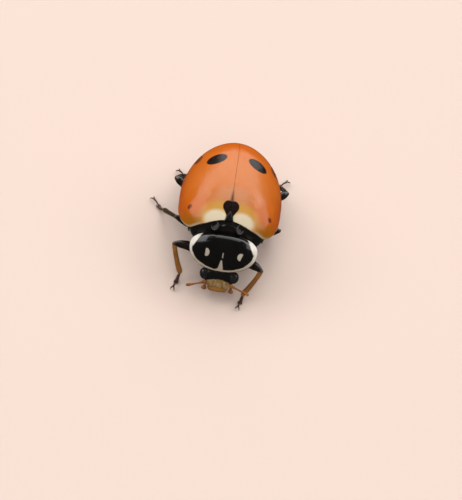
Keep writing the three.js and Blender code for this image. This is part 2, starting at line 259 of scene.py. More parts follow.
def wing_case_tree():
    """Half a dome, from a grid as long as the wing case that runs from the seam round under the rim."""
    tree, start, sizes = shape_tree("wing case", "Side", *WING_SIZES)
    (side, half_width, rise, rim, front, rear, widest, bow, set_back, bump, flare, turned_in, strip,
     gap) = sizes
    grid, along, beside = grid_points(tree, 110, 88)
    lap = beside + 0.5
    even = (lap / (1 - strip)).math("MINIMUM", 1)
    inward = ((lap - (1 - strip)) / strip).math("MAXIMUM", 0)
    across = even * 0.3 + 0.35 * (1 - (even * math.pi).math("COSINE"))

    # The front edge bows forward at the seam and is set back at the shoulder.
    shoulder = ((across - 0.62) / 0.38).math("MAXIMUM", 0)
    edge = front - bow * across.ramp(0.02, 0.45) + set_back * shoulder**2.6
    y = edge + (rear - edge) * (along * (math.pi / 2)).math("SINE")
    distance = y - widest
    wide = two_bulges(distance, (rear - widest, 2.05), (2.05, 2.8))
    high = two_bulges(distance, (rear - widest, 2.55), (2.15, 2.2))

    # The flared rim, its gutter, the bead at the seam, its groove and the bump at the shoulder.
    swell = 0.995 + flare * across.ramp(0.88, 1) - 0.010 * across.hump(0.955, 0.018)
    swell = swell + 0.005 * across.hump(0.0, 0.012) - 0.0035 * across.hump(0.03, 0.012)
    swell = swell + bump * along.hump(0.09, 0.06) * across.hump(0.64, 0.10)
    angle = across * (math.pi / 2)
    x = half_width * wide * angle.math("SINE") * swell
    z = rim + rise * high * angle.math("COSINE") * swell

    # The strip turns in towards the widest place, less so at the front.
    outward = distance.math("ARCTAN2", x)
    wanted = turned_in * inward * (0.35 + 0.65 * (1 - along) ** 0.6)
    x = x - wanted * outward.math("COSINE") + gap / 2
    y = y - wanted * outward.math("SINE")
    z = z + 0.05 * inward - 0.03 * inward.hump(0.25, 0.2)
    marked = store(tree, grid, "along", along, "FLOAT", "POINT")
    bent = move_to(tree, marked, x * side, y, z)
    closed = add_node(tree, "GeometryNodeMergeByDistance", {"Geometry": bent, "Distance": 0.0005})
    faces = add_node(tree, "GeometryNodeFlipFaces",
                     {"Mesh": closed, "Selection": side.math("GREATER_THAN", 0)})
    return end_tree(tree, start, faces)


def body_place(tree):
    """Where a point of the surface is, in body millimetres."""
    source = add_node(tree, "ShaderNodeTexCoord")
    return add_node(tree, "ShaderNodeMapping", {
        "Vector": source.outputs["Object"], "Location": -BODY / MM, "Scale": (1 / MM, 1 / MM, 1 / MM)})


def paint(tree, colour, *layers):
    """Lays colours over one another, each as far as its mask says."""
    for mask, over in layers:
        colour = add_node(tree, "ShaderNodeMix", {0: mask, 6: colour, 7: over}, data_type="RGBA").outputs[2]
    return colour


def noise(tree, place, scale, detail=1.0):
    node = add_node(tree, "ShaderNodeTexNoise", {"Vector": place, "Scale": scale, "Detail": detail})
    return Term(tree, node.outputs["Fac"])


def largest(*masks):
    found = masks[0]
    for mask in masks[1:]:
        found = found.math("MAXIMUM", mask)
    return found


def shader_group(name, inputs, outputs):
    """An empty shader group with numbers or vectors going in and masks or values coming out."""
    tree = bpy.data.node_groups.new(name, "ShaderNodeTree")
    for socket, kind in inputs.items():
        tree.interface.new_socket(socket, in_out="INPUT", socket_type=f"NodeSocket{kind}")
    for socket in outputs:
        tree.interface.new_socket(socket, in_out="OUTPUT", socket_type="NodeSocketFloat")
    start = tree.nodes.new("NodeGroupInput")
    return tree, [Term(tree, start.outputs[socket]) for socket in inputs], tree.nodes.new("NodeGroupOutput")


def patch_group():
    """A mask of 1 inside a turned ellipse, falling to 0 over a soft edge: a spot of pigment."""
    sizes = ("X", "Y", "Centre X", "Centre Y", "Half Width", "Half Length", "Turn", "Softness")
    tree, terms, end = shader_group("pigment patch", dict.fromkeys(sizes, "Float"), ["Mask"])
    x, y, centre_x, centre_y, half_width, half_length, turn, softness = terms
    c, s = turn.math("COSINE"), turn.math("SINE")
    across, along = x - centre_x, y - centre_y
    wide = (across * c + along * s) / half_width
    long = (along * c - across * s) / half_length
    far = (wide * wide + long * long).math("SQRT")
    fill(end, {"Mask": 1 - far.ramp(1 - softness, 1 + softness)})
    return tree


def grain_group():
    """The grain of chitin: small pits, soft waves and cloudy pigment."""
    inputs = {"Place": "Vector", "Pits": "Float", "Pit Size": "Float", "Pit Depth": "Float",
              "Waves": "Float", "Wave Height": "Float"}
    tree, terms, end = shader_group("chitin grain", inputs, ["Height", "Cloud"])
    place, pits, pit_size, pit_depth, waves, wave_height = terms
    cells = add_node(tree, "ShaderNodeTexVoronoi", {"Vector": place, "Scale": pits, "Randomness": 0.8})
    pit = Term(tree, cells.outputs["Distance"]).ramp(pit_size * 0.3, pit_size)
    height = pit * pit_depth + noise(tree, place, waves, 3.0) * wave_height
    fill(end, {"Height": height, "Cloud": noise(tree, place, 1.6, 3.0).ramp(0.30, 0.74)})
    return tree


PATCH = patch_group()
GRAIN = grain_group()


def patch(x, y, centre, radii, turn=0.0, softness=0.1):
    """The mask of one patch of pigment. Its turn is in degrees."""
    values = (x, y, *centre, *radii, math.radians(turn), softness)
    node = add_node(x.tree, "ShaderNodeGroup", node_tree=PATCH)
    fill(node, dict(enumerate(values)))
    return Term(x.tree, node.outputs[0])


def grain(shader, place, pits=15.0, pit_size=0.25, pit_depth=0.4, waves=6.0, wave_height=0.4):
    """Gives a shader its pits and waves, and returns how cloudy its pigment is."""
    tree = shader.id_data
    node = add_node(tree, "ShaderNodeGroup", node_tree=GRAIN)
    fill(node, dict(enumerate((place, pits, pit_size, pit_depth, waves, wave_height))))
    bump = add_node(tree, "ShaderNodeBump", {"Height": node.outputs["Height"], "Distance": BUMP_STEP * MM})
    fill(shader, {"Normal": bump})
    return Term(tree, node.outputs["Cloud"])


def new_material(name, values):
    """A material with a Principled shader, some of whose sockets are filled."""
    material = bpy.data.materials.new(name)
    material.use_nodes = True
    shader = material.node_tree.nodes["Principled BSDF"]
    fill(shader, values)
    return material, material.node_tree, shader


def wing_case_material():
    material, tree, shader = new_material("orange chitin", {"IOR": 1.45, "Specular IOR Level": 0.38})
    where = body_place(tree)
    x, y, z = split(tree, where)
    x = x.math("ABSOLUTE")
    cloud = grain(shader, where, pits=17.0, pit_size=0.3, waves=5.0, wave_height=1.4)
    corner = y + (x - 0.95) * (x - 0.95) * -1.1
    olive = (1 - corner.ramp(-1.80, -1.38)) * x.ramp(0.68, 0.95)
    # A painted shade along the start of the seam.
    seam_shade = (1 - (x + (y + 1.1) * 0.10).ramp(0.01, 0.10)) * (1 - y.ramp(-1.0, -0.45))
    front_edge = Term(tree, add_node(tree, "ShaderNodeAttribute", attribute_name="along").outputs["Fac"])
    # A painted highlight along the front edge at the shoulder.
    shoulder_glint = (1 - front_edge.ramp(0.004, 0.014)) * x.ramp(0.70, 0.90)
    # The dark mark that both wing cases share behind the scutellum, widest at its front.
    shared = x - (y + 1.61).math("MAXIMUM", 0) * 0.62 - y.hump(-1.77, 0.08) * 0.03
    spots = largest(
        (1 - shared.ramp(0.095, 0.115)) * (1 - y.ramp(-1.42, -1.34)),
        patch(x, y, (0.10, -1.30), (0.15, 0.18), 15, 0.10),
        patch(x, y, (0.64, 0.53), (0.33, 0.205), -31, 0.08),
        patch(x, y, (1.19, 0.76), (0.10, 0.22), 15, 0.30) * 0.7)
    colour = paint(
        tree, (0.56, 0.110, 0.0015),
        (cloud, (0.60, 0.130, 0.003)),
        (patch(x, y, (0.0, -0.3), (1.15, 1.15), 0, 0.45) * 0.9, (0.60, 0.170, 0.030)),  # painted sheen over the middle of the back
        (y.ramp(0.8, 1.8) * 0.6, (0.56, 0.095, 0.0005)),  # painted shade: deeper towards the tip
        (0.4 - 0.4 * z.ramp(1.15, 1.85), (0.46, 0.07, 0.0003)),  # painted shade: deeper down the sides
        (olive * 0.9, (0.33, 0.125, 0.004)),
        (patch(x, y, (0.10, -1.05), (0.50, 0.45), 0, 0.50), (0.56, 0.210, 0.080)),  # painted sheen: salmon by the seam
        (patch(x, y, (0.40, -1.60), (0.50, 0.42), 0, 0.40) * 0.8, (0.60, 0.33, 0.06)),  # halo of the cream
        (patch(x, y, (0.40, -1.72), (0.37, 0.26), 8, 0.28), (0.74, 0.63, 0.44)),  # cream by the scutellum
        (0.55 - 0.55 * z.ramp(1.12, 1.19), (0.55, 0.19, 0.04)),  # rim
        (seam_shade * 0.85, (0.07, 0.05, 0.04)),  # painted shade at the start of the seam
        (shoulder_glint * 0.8, (0.42, 0.34, 0.24)),  # painted highlight along the front edge at the shoulder
        (patch(x, y, (1.245, -1.25), (0.062, 0.078), 0, 0.25) * 0.9, (0.13, 0.014, 0.001)),  # shoulder
        (spots, (0.010, 0.004, 0.003)))
    fill(shader, {"Roughness": cloud * 0.05 + 0.175, "Base Color": colour})
    return material


orange_chitin = wing_case_material()
wing_tree = wing_case_tree()
for side, sign in SIDES.items():
    wing = grow(f"wing_case_{side}", wing_tree, WING_SIZES | {"Side": sign, "Material": orange_chitin})
    settle(wing, None, "orange_chitin", f"elytron_{side}")
    add_wall(wing, WING_WALL, -1)
    rounding = wing.modifiers.new("rounding", "BEVEL")
    rounding.width = WING_EDGE * MM
    rounding.segments = 2
    rounding.angle_limit = math.radians(50)
    rounding.harden_normals = True

# ---------------------------------------------------------------- scutellum
# A small black triangle of hard chitin between the front corners of the wing cases. It is part of
# the back of the middle thorax, and shows where the seam starts.

SCUTELLUM_HALF_WIDTH = 0.13
SCUTELLUM_LENGTH = 0.32
SCUTELLUM_STEPS = 8
SCUTELLUM_PLACE = (0, -1.665, 2.055)
SCUTELLUM_TILT = 21
BLACK_IOR = 1.56
BLACKS = ((0.004, 0.0038, 0.0036), (0.012, 0.008, 0.006))


def skin(name, rings, directions=None):
    """A closed skin through rings of points that run round it the same way, with its faces outwards.

    Its UV map runs round the rings and along them. A direction for each ring is kept for bristles.
    """
    rings = [np.array([tuple(point) for point in ring]) for ring in rings]
    count, sides = len(rings), len(rings[0])
    points = np.concatenate([*rings, [rings[0].mean(axis=0)], [rings[-1].mean(axis=0)]])
    first, last = count * sides, count * sides + 1
    faces, places = [], []
    for j in range(sides):
        k = (j + 1) % sides
        u, v = j / sides, (j + 1) / sides
        faces += [(first, k, j), (last, first - sides + j, first - sides + k)]
        places += [((u, 0), (v, 0), (u, 0)), ((u, 1), (u, 1), (v, 1))]
        for i in range(count - 1):
            a, b = i * sides + j, i * sides + k
            low, high = i / (count - 1), (i + 1) / (count - 1)
            faces.append((a, b, b + sides, a + sides))
            places.append(((u, low), (v, low), (v, high), (u, high)))
    corners = points[[face[:3] for face in faces]] - points.mean(axis=0)
    inside_out = np.einsum("ij,ij->i", corners[:, 0], np.cross(corners[:, 1], corners[:, 2])).sum() < 0
    if inside_out:
        faces = [face[::-1] for face in faces]
        places = [place[::-1] for place in places]
    mesh = bpy.data.meshes.new(name)
    mesh.from_pydata(points.tolist(), [], faces)
    mesh.shade_smooth()
    layer = mesh.uv_layers.new(name="skin")
    layer.data.foreach_set("uv", [value for place in places for corner in place for value in corner])
    if directions is not None:
        lean = [*np.repeat(directions, sides, axis=0), directions[0], directions[-1]]
        along = mesh.attributes.new("direction", "FLOAT_VECTOR", "POINT")
        along.data.foreach_set("vector", np.array(lean).ravel())
    return put(name, mesh)


def frame_at(place, tilt=0.0, roll=0.0, heading=0.0):
    """A turned place in body millimetres. The turns are in degrees."""
    turn = Matrix.Rotation(math.radians(heading), 4, "Z")
    turn = turn @ Matrix.Rotation(math.radians(tilt), 4, "X") @ Matrix.Rotation(math.radians(roll), 4, "Y")
    return Matrix.Translation(place) @ turn


def shield(name, place, outline, top, bottom, shares):
    """A plate of nested rings, from the middle of its top round its edge to the middle below.

    The outline is a list of flat points. Top and bottom give the height at a share of the way out.
    """
    rings = []
    for share, height in [(share, top) for share in shares] + [(share, bottom) for share in shares[::-1]]:
        rings.append([place @ Vector((share * x, share * y, height(share, share * x))) for x, y in outline])
    return skin(name, rings)


def chitin(name, colours, roughness, ior, marks=None, **grain_sizes):
    """Chitin of one colour, another where it is cloudy, and any marks that a function adds to them."""
    material, tree, shader = new_material(name, {"Roughness": roughness, "IOR": ior})
    cloud = grain(shader, body_place(tree), **grain_sizes)
    colour = paint(tree, colours[0], (cloud, colours[1]))
    fill(shader, {"Base Color": marks(tree, colour) if marks else colour})
    return material


outline = []
for i in range(-SCUTELLUM_STEPS, SCUTELLUM_STEPS + 1):
    share = 1 - abs(i) / SCUTELLUM_STEPS
    half = SCUTELLUM_HALF_WIDTH * (1 - share) ** 0.8
    outline.append((math.copysign(half, i), SCUTELLUM_LENGTH * (share - 0.35)))
scutellum = shield(
    "scutellum_plate", frame_at(SCUTELLUM_PLACE, SCUTELLUM_TILT), outline,
    lambda share, x: 0.014 * (1 - share**4), lambda share, x: -0.05, (0.05, 0.4, 0.7, 0.9, 1))
glossy_black = chitin("black chitin", BLACKS, 0.12, BLACK_IOR)
settle(scutellum, glossy_black, "black_chitin", "scutellum")

# ---------------------------------------------------------------- collar of the middle thorax
# The black saddle that the wing cases hinge on, bared because the pronotum is bent down. It has a
# raised bar across it, a ring at each end of the bar, and fine ridges.

COLLAR_CENTRE = Vector((0, -1.62, 1.25))
COLLAR_HALF = Vector((1.13, 0.41, 0.72))
COLLAR_RIDGES = 22
COLLAR_RIDGE = 0.012
BAR = ((-20, 50), (-10, 56), (0, 58), (10, 56), (20, 50))  # turns and lifts, in degrees
BAR_RISE = 0.012
RING_TURNS = (-31, 30)
RING_LIFT = 48
RING_RISE = 0.01
RING_HALF = (0.14, 0.18)
LIMB_LEAST = 0.004  # the least half width of a limb


def turns(count):
    """Even turns round a circle, in radians."""
    return [2 * math.pi * i / count for i in range(count)]


def bell(distance, width):
    return math.exp(-((distance / width) ** 2))


def barrel(name, centre, half, axis, counts, wall, power=1.0):
    """A closed barrel along a level axis. Wall says how far out it is at a turn and a share of its girth.

    The counts are of rings along it and of points round it.
    """
    rings = []
    for i in range(1, counts[0]):
        girth = math.sin(math.pi * i / counts[0]) ** power
        ring = []
        for turn in turns(counts[1]):
            out = wall(turn, girth)
            point = Vector((0, 0, half.z * girth * out * math.sin(turn)))
            point[axis] = half[axis] * -math.cos(math.pi * i / counts[0])
            point[1 - axis] = half[1 - axis] * girth * out * math.cos(turn)
            ring.append(centre + point)
        rings.append(ring)
    return skin(name, rings)


def collar_point(turn, lift, out=0.0):
    """On the collar, at a turn to the side and a lift up its front face, both in degrees."""
    t, u = math.radians(turn), math.radians(lift)
    unit = Vector((math.sin(t) * math.cos(u), -math.cos(t) * math.cos(u), math.sin(u)))
    return COLLAR_CENTRE + Vector(unit[i] * (COLLAR_HALF[i] + out) for i in range(3))


def fuller(value, power):
    """A sine or cosine, raised to a power. With a power under 1 it makes a circle a fuller oval."""
    return math.copysign(abs(value) ** power, value)


def oval(half_width, half_length, steps=28, power=2.0):
    """The outline of an ellipse, or of a fuller oval with a power over 2."""
    return [(half_width * fuller(math.cos(turn), 2 / power), half_length * fuller(math.sin(turn), 2 / power))
            for turn in turns(steps)]


def facing(place, normal, along=(0, 1, 0)):
    """A place whose own Z looks along a normal, with its own Y as near as may be to a direction."""
    z = Vector(normal).normalized()
    x = Vector(along).cross(z).normalized()
    return Matrix.Translation(place) @ Matrix((x, z.cross(x), z)).transposed().to_4x4()


def smooth_between(stations, steps=4):
    """Rows of numbers on a smooth line through known rows."""
    known = np.array(stations, float)
    known = np.concatenate([[2 * known[0] - known[1]], known, [2 * known[-1] - known[-2]]])
    line = []
    for a, b, c, d in zip(known, known[1:], known[2:], known[3:]):
        for t in np.arange(steps) / steps:
            line.append(0.5 * (2 * b + (c - a) * t + (2 * a - 5 * b + 4 * c - d) * t**2
                               + (3 * b - 3 * c + d - a) * t**3))
    return np.array([*line, known[-2]])


def limb(name, stations, sides=20, over=(0, 0, 1)):
    """A round-ended limb on a smooth line through stations: a place, a half width and a half height."""
    line = smooth_between([[*place, width, height] for place, width, height in stations])
    line[:, 3:] = np.maximum(line[:, 3:], LIMB_LEAST)
    aims = np.gradient(line[:, :3], axis=0)
    aims /= np.linalg.norm(aims, axis=1, keepdims=True)
    cap = [math.radians(angle) for angle in (18, 42, 66)]
    stops = [(0, -math.cos(angle), math.sin(angle)) for angle in cap]
    stops += [(i, 0, 1) for i in range(len(line))]
    stops += [(len(line) - 1, math.cos(angle), math.sin(angle)) for angle in cap[::-1]]
    rings = []
    for i, ahead, share in stops:
        x, y, z, width, height = line[i]
        aim = Vector(aims[i])
        side = aim.cross(Vector(over)).normalized()
        rise = side.cross(aim)
        centre = Vector((x, y, z)) + aim * ahead * min(width, height)
        rings.append([centre + side * width * share * math.cos(turn) + rise * height * share * math.sin(turn)
                      for turn in turns(sides)])
    return skin(name, rings, [aims[i] for i, _, _ in stops])


def join(name, pieces):
    """Makes one object of one or more meshes."""
    if len(pieces) > 1:
        with bpy.context.temp_override(active_object=pieces[0], selected_editable_objects=pieces):
            bpy.ops.object.join()
    pieces[0].name = name
    pieces[0].data.name = name
    return pieces[0]


def on_skin(tree):
    """How far round and along its skin a point is, from 0 to 1."""
    return split(tree, add_node(tree, "ShaderNodeUVMap", uv_map="skin"))[:2]


def crest_glint(tree, dark):
    """Paints a pale highlight on a ring where its skin map says that it is highest."""
    _, out = on_skin(tree)
    return paint(tree, dark, (out.hump(0.29, 0.055), (0.13, 0.125, 0.12)))


collar = barrel("collar", COLLAR_CENTRE, COLLAR_HALF, 0, (48, 64),
                lambda turn, girth: 1 - COLLAR_RIDGE * math.cos(turn * COLLAR_RIDGES) * girth)
satin_black = chitin("satin black chitin", BLACKS, 0.3, BLACK_IOR, pit_depth=0.8, wave_height=0.9)
settle(collar, satin_black, "black_chitin", "mesonotum")
parts = [limb("bar", [(collar_point(*spot, BAR_RISE), 0.022, 0.03) for spot in BAR], 12)]
for turn in RING_TURNS:
    place = collar_point(turn, RING_LIFT, RING_RISE)
    parts.append(shield(
        "ring", facing(place, place - COLLAR_CENTRE), oval(*RING_HALF),
        lambda share, x: 0.034 * bell(share - 0.80, 0.09) - 0.006, lambda share, x: -0.06,
        (0.1, 0.3, 0.5, 0.62, 0.7, 0.76, 0.82, 0.88, 0.94, 1)))
# The rings carry a painted highlight along their crests.
saddle = chitin("saddle chitin", (BLACKS[0], (0.010, 0.008, 0.007)), 0.4, 1.5, crest_glint,
                waves=9.0, wave_height=0.8)
settle(join("saddle_marks", parts), saddle, "black_chitin")

# ---------------------------------------------------------------- pronotum
# The shield over the front of the thorax: black, polished chitin with a cream border in front and at
# the sides, a wedge of cream in the middle and two cream spots, as males have. It is bent down.

PRONOTUM_TILT = 35
PRONOTUM_ROLL = -4
PRONOTUM_HALF_WIDTH = 1.05
PRONOTUM_REAR = 0.47
PRONOTUM_REAR_POWER = 2.4
PRONOTUM_FRONT = 0.71
PRONOTUM_FRONT_POWER = 2.15
PRONOTUM_CROWN = 0.30
PRONOTUM_DROOP = 0.18
PRONOTUM_RIM = 0.09
PRONOTUM_SHIFT = Vector((-0.015, 0.083, 0.062))  # from the middle of its CAD solid


def middle_of(node):
    """The middle of a CAD node's box, in body millimetres."""
    return sum(body_box(node), Vector()) / 2


def pronotum_outline(points=96):
    """Half an oval behind and half of a longer one in front."""
    behind, ahead = (oval(PRONOTUM_HALF_WIDTH, reach, points, power) for reach, power in (
        (PRONOTUM_REAR, PRONOTUM_REAR_POWER), (PRONOTUM_FRONT, PRONOTUM_FRONT_POWER)))
    return [rear if rear[1] > 0 else front for rear, front in zip(behind, ahead)]


def pronotum_top(share, x):
    """A dome with a shallow gutter inside a thin raised rim. Its sides hang."""
    dome = PRONOTUM_CROWN * math.sqrt(max(0, 1 - share**2.15))
    rim = 0.018 * bell(share - 0.99, 0.02) - 0.016 * bell(share - 0.94, 0.03)
    return dome + rim - PRONOTUM_DROOP * (x / PRONOTUM_HALF_WIDTH) ** 2


def pronotum_below(share, x):
    """The under side, a little hollow, that hangs like the top."""
    hollow = 0.03 * (1 - share**3)
    return -PRONOTUM_RIM - hollow - PRONOTUM_DROOP * (x / PRONOTUM_HALF_WIDTH) ** 2


def place_on(tree, place):
    """Where a point of the surface is, in millimetres from a turned place on the body."""
    return add_node(tree, "ShaderNodeMapping", {
        "Vector": body_place(tree), "Location": place.translation, "Rotation": place.to_euler("XYZ")},
        vector_type="TEXTURE")


pronotum_place = frame_at(middle_of("pronotum") + PRONOTUM_SHIFT, PRONOTUM_TILT, PRONOTUM_ROLL)


def pronotum_material():
    material, tree, shader = new_material("pronotum chitin", {"Roughness": 0.12, "IOR": 1.48})
    where = place_on(tree, pronotum_place)
    x, y, _ = split(tree, where)
    cloud = grain(shader, where, pits=16.0, pit_size=0.22, pit_depth=0.25, waves=4.0, wave_height=0.35)
    beside = x.math("ABSOLUTE")
    behind = y.math("GREATER_THAN", 0)
    reach = PRONOTUM_FRONT + (PRONOTUM_REAR - PRONOTUM_FRONT) * behind
    power = PRONOTUM_FRONT_POWER + (PRONOTUM_REAR_POWER - PRONOTUM_FRONT_POWER) * behind
    out = ((beside / PRONOTUM_HALF_WIDTH) ** power + (y.math("ABSOLUTE") / reach) ** power) ** (1 / power)
    wavy = (noise(tree, where, 4.5) - 0.5) * 0.07
    border = (out + wavy - 0.03 * x.hump(0, 0.6)).ramp(0.905, 0.928) * (1 - y.ramp(0.05, 0.30))
    corner = (beside + y * 0.55).ramp(0.88, 0.93) * y.ramp(-0.15, 0.0)
    wedge_width = 0.02 + (-0.41 - y) * 0.24 + 0.10 * y.hump(-0.70, 0.04)
    wedge_middle = 0.01 - 0.06 * y.hump(-0.70, 0.05)
    wedge = 1 - ((x - wedge_middle).math("ABSOLUTE") - wedge_width).ramp(-0.015, 0.02)
    line = (1 - (x - 0.03).math("ABSOLUTE").ramp(0.012, 0.026)) * y.ramp(-0.33, -0.30)
    pale = largest(
        border, corner, wedge * (1 - y.ramp(-0.41, -0.37)), line * (1 - y.ramp(-0.175, -0.145)) * 0.6,
        patch(x, y, (-0.485, -0.20), (0.092, 0.120), 10, 0.10) * x.ramp(-0.53, -0.51),
        patch(x, y, (0.575, -0.20), (0.100, 0.115), -20, 0.10) * (1 - (x - y * 0.3).ramp(0.655, 0.675)))
    # A painted highlight on the cream border, brightest towards its rear corners.
    corner_glint = y.ramp(-0.5, 0.15) * beside.ramp(0.60, 0.90)
    cream = paint(tree, (0.44, 0.39, 0.30), (cloud, (0.52, 0.47, 0.38)), (corner_glint, (0.92, 0.87, 0.78)))
    fill(shader, {"Base Color": paint(
        tree, (0.003, 0.003, 0.003), (cloud, (0.006, 0.005, 0.004)), (pale, cream))})
    return material


pronotum = shield(
    "pronotum_shield", pronotum_place, pronotum_outline(), pronotum_top, pronotum_below,
    (0.03, 0.12, 0.22, 0.32, 0.42, 0.52, 0.61, 0.69, 0.76, 0.82, 0.87, 0.905, 0.93, 0.95, 0.965, 0.98,
     0.99, 1))
settle(pronotum, pronotum_material(), "black_chitin", "pronotum")

# ---------------------------------------------------------------- prothorax
# The ring of the body under the pronotum: black, with the sockets of the front legs below, and a
# shallow crease down each side.

PROTHORAX_HALF = Vector((0.78, 0.44, 0.36))
prothorax = barrel("prothorax_ring", middle_of("prothorax") + Vector((0, 0, 0.02)), PROTHORAX_HALF, 1,
                   (24, 48), lambda turn, girth: 1 - 0.03 * bell(abs(math.cos(turn)) - 0.75, 0.08), 0.8)
settle(prothorax, satin_black, "black_chitin", "prothorax")

# ---------------------------------------------------------------- belly
# The soft black body inside, the plates of the thorax and abdomen that cover it below, each lapping
# over the next one, and four cream plates at the sides of the thorax.

BELLY_INSET = 0.2
BELLY_DEPTH = 0.5
BELLY_LEVEL = wing_low.z - 0.03
BELLY_HALF_WIDTH = wing_high.x - BELLY_INSET
BELLY_REAR = wing_high.y - BELLY_INSET
BELLY_REAR_POWER = 1.9
BELLY_FRONT = wing_low.y
BELLY_SHOULDER = 1.66  # how far ahead of its widest place the belly would close
BELLY_FRONT_POWER = 2.6
BELLY_SKIN = 0.03  # how far the soft body lies inside the plates
BACK_RISE = 0.55
CORE_RINGS = 39
PLATE_SWEEP = 196
PLATE_WALL = 0.025
PLATE_SIZES = {
    "Half Width": BELLY_HALF_WIDTH, "Rear": BELLY_REAR, "Rear Power": BELLY_REAR_POWER,
    "Front": BELLY_FRONT, "Shoulder": BELLY_SHOULDER, "Front Power": BELLY_FRONT_POWER,
    "Widest": WING_WIDEST, "Level": BELLY_LEVEL, "Depth": BELLY_DEPTH,
    "Sweep": math.radians(PLATE_SWEEP), "Lap": 0.022,
}
# Where each plate starts and ends along the body.
BELLY_PLATES = {
    "mesosternum": (-1.72, -0.98), "metasternum": (-1.02, -0.16), "sternite_1": (-0.22, 0.30),
    "sternite_2": (0.25, 0.62), "sternite_3": (0.58, 0.92), "sternite_4": (0.88, 1.18),
    "sternite_5": (1.14, 1.40), "sternite_6": (1.37, 1.60),
}
# Each cream plate's place along the body, turn from straight down and half sizes.
CREAM_PLATES = {"mesepimeron": (-1.30, 72, (0.13, 0.20)), "metepimeron": (-0.34, 70, (0.075, 0.13))}
CREAM_IOR = 1.52
CREAM_GRAIN = {"pit_depth": 0.5, "waves": 7.0, "wave_height": 0.6}


def belly_point(y, turn, out=0.0):
    """On the belly at a place along it and a turn from straight down, in degrees, and a way out."""
    rear = (BELLY_REAR - WING_WIDEST, BELLY_REAR_POWER)
    reach, power = rear if y > WING_WIDEST else (BELLY_SHOULDER, BELLY_FRONT_POWER)
    half = BELLY_HALF_WIDTH * max(0, 1 - (abs(y - WING_WIDEST) / reach) ** power) ** (1 / power)
    share = (y - BELLY_FRONT) / (BELLY_REAR - BELLY_FRONT)
    depth = BELLY_DEPTH * max(0, 1 - abs(share) ** 3) ** (1 / 3)
    t = math.radians(turn)
    return Vector(((half + out) * math.sin(t), y, BELLY_LEVEL - (depth + out) * math.cos(t)))


def belly_plate_tree():
    """A band of the belly's surface, with a lip at its rear edge and a groove down its middle."""
    tree, start, sizes = shape_tree("belly plate", "Start", "End", "Bow", "Groove", *PLATE_SIZES)
    (first, last, bow, groove, half_width, rear, rear_power, front, shoulder, front_power, widest,
     level, depth, sweep, lap) = sizes
    grid, along, beside = grid_points(tree, 18, 72)
    turn = beside * sweep
    middle = turn.math("COSINE")
    y = (first + (last - first) * along - bow * along * middle * middle).math("MINIMUM", rear - 0.004)
    wide = two_bulges(y - widest, (rear - widest, rear_power), (shoulder, front_power))
    deep = bulge((y - front) / (rear - front), 1, 3)
    lip = along.ramp(0.75, 0.95) * 0.012 * (1 - along.ramp(0.97, 1.0))
    out = lap * (0.15 + along) + lip - groove * turn.hump(0, 0.02)
    bent = move_to(tree, grid, (half_width * wide + out) * turn.math("SINE"), y,
                   level - (depth * deep + out) * middle)
    return end_tree(tree, start, bent)


rings = []
for i in range(1, CORE_RINGS + 1):
    y = BELLY_FRONT + (BELLY_REAR - BELLY_SKIN - BELLY_FRONT) * math.sin(math.pi / 2 * i / CORE_RINGS)
    below = [belly_point(y, turn, -BELLY_SKIN) for turn in range(-90, 91, 9)]
    width = below[-1].x
    above = [Vector((width * math.cos(math.radians(turn)), y,
                     BELLY_LEVEL + BACK_RISE * width / BELLY_HALF_WIDTH * math.sin(math.radians(turn))))
             for turn in range(9, 180, 9)]
    rings.append(below + above)
soft_black = chitin("soft black skin", BLACKS, 0.5, BLACK_IOR, waves=18.0, wave_height=1.5)
settle(skin("body_core", rings), soft_black, "black_chitin", "thorax", "abdomen")

plate_black = chitin("plate chitin", ((0.006, 0.005, 0.005), (0.022, 0.012, 0.008)), 0.22, BLACK_IOR,
                     pits=14.0, pit_size=0.32, pit_depth=1.0, wave_height=0.7)
plate_tree = belly_plate_tree()
for name, (start, end) in BELLY_PLATES.items():
    bow, groove = (0.0, 0.02) if end < 0 else (0.05, 0.0)
    plate = grow(name, plate_tree, PLATE_SIZES | {
        "Start": start, "End": end, "Bow": bow, "Groove": groove, "Material": plate_black})
    settle(plate, None, "black_chitin")
    add_wall(plate, PLATE_WALL, 1)

cream = chitin("cream chitin", ((0.50, 0.42, 0.28), (0.66, 0.58, 0.42)), 0.3, CREAM_IOR, **CREAM_GRAIN)
for name, (y, turn, half) in CREAM_PLATES.items():
    for side, sign in SIDES.items():
        place = belly_point(y, turn * sign, 0.035)
        normal = belly_point(y, turn * sign, 0.2) - place
        plate = shield(f"{name}_{side}", facing(place, normal), oval(*half, power=2.6),
                       lambda share, x: 0.03 * (1 - share**4), lambda share, x: -0.02,
                       (0.1, 0.35, 0.6, 0.8, 0.93, 1))
        settle(plate, cream, "cream_chitin")

# ---------------------------------------------------------------- head
# A black capsule with a cream face in front, bent down with the mouth towards the floor. It is placed
# by the eyes.

HEAD_TILT = 40
HEAD_ROLL = -6
EYE_SPREAD = 0.44
EYE_FORWARD = 0.11
EYE_UP = 0.04
head_turn = frame_at((0, 0, 0), HEAD_TILT, HEAD_ROLL)
between_eyes = (middle_of("eye_left") + middle_of("eye_right")) / 2
head_place = Matrix.Translation(between_eyes - head_turn @ Vector((0, EYE_FORWARD, EYE_UP))) @ head_turn

# Stations from the neck to the mouth: along, half width, height above, depth below.
HEAD_STATIONS = (
    (0.36, 0.20, 0.10, 0.12), (0.32, 0.36, 0.16, 0.18), (0.24, 0.46, 0.20, 0.21),
    (0.12, 0.50, 0.225, 0.23), (0.0, 0.485, 0.215, 0.23), (-0.08, 0.43, 0.19, 0.21),
    (-0.14, 0.37, 0.165, 0.18), (-0.20, 0.335, 0.135, 0.14), (-0.245, 0.325, 0.10, 0.10),
    (-0.262, 0.31, 0.06, 0.07),
)


def on_head(*place):
    """A place on the head, in body millimetres."""
    return head_place @ Vector(place)


